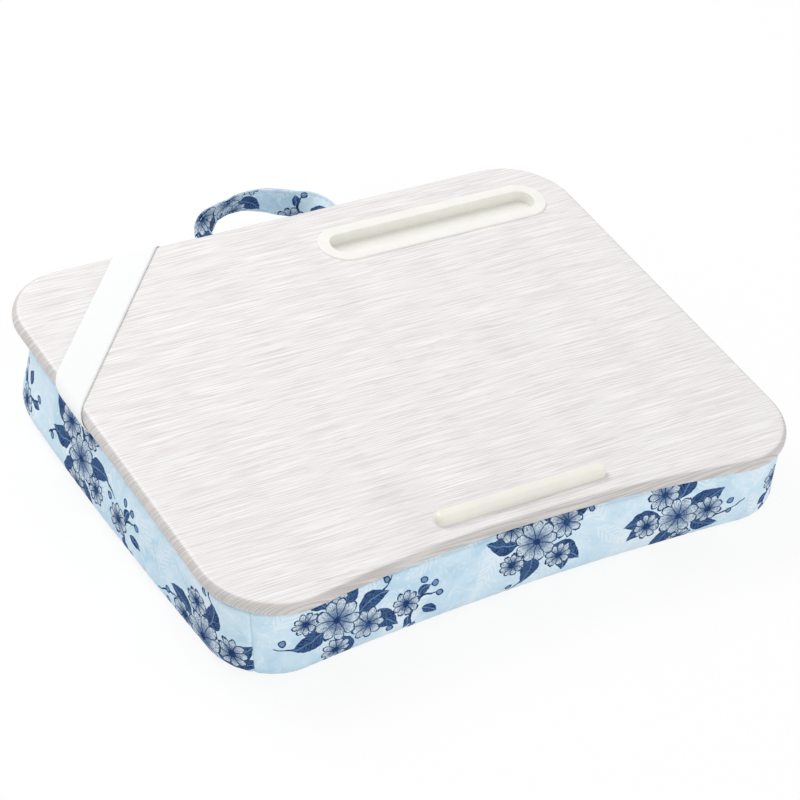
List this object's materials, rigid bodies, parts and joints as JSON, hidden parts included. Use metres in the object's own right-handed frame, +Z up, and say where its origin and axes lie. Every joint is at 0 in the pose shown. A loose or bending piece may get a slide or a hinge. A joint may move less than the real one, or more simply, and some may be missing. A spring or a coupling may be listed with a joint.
{
  "type": "lap tray",
  "caption": "Lap tray: a flat board with a phone slot, a stop ledge, an elastic corner band and a strap handle, fixed on a filled fabric cushion.",
  "frame": {"origin": "on the table, under the middle of the board's 451 mm by 356 mm outline; Z = 0 is where the cushion stands", "axes": "+X to the user's right along the long front edge, +Y to the back edge with the handle, +Z up"},
  "size_m": [0.4525, 0.3995, 0.0752],
  "materials": {
    "core_board": "matte",
    "printed_film": "satin",
    "slot_plastic": "satin",
    "ledge_plastic": "satin",
    "screw_steel": "satin",
    "band_elastic": "matte",
    "staple_steel": "satin",
    "printed_cloth": "matte",
    "webbing": "matte",
    "base_cloth": "matte",
    "lining_cloth": "matte",
    "filling": "matte"
  },
  "bodies": {
    "tray": {"top_board": "core_board", "board_film": "printed_film", "phone_slot_liner": "slot_plastic", "device_ledge": "ledge_plastic", "ledge_screws": "screw_steel", "elastic_band_ends": "band_elastic", "band_staples": "staple_steel", "handle_strap_ends": "printed_cloth", "handle_staples": "staple_steel", "cushion_front_strip": "printed_cloth", "cushion_right_strip": "printed_cloth", "cushion_back_strip": "printed_cloth", "cushion_left_strip": "printed_cloth", "cushion_base_panel": "base_cloth", "cushion_lining": "lining_cloth", "cushion_fill": "filling", "hem_staples": "staple_steel"},
    "handle": {"handle_strap": "printed_cloth", "handle_webbing": "webbing"},
    "band": {"elastic_band": "band_elastic"}
  },
  "joints": [
    {"name": "handle_swing", "type": "hinge", "parent": "tray", "child": "handle", "pos_m": [0, 0.1806, 0.0564], "axis": [1, 0, 0], "range_deg": [-80, 70]},
    {"name": "band_lift", "type": "slide", "parent": "tray", "child": "band", "axis": [0, 0, 1], "range_m": [0, 0.012], "stiffness_N_per_m": 150}
  ]
}
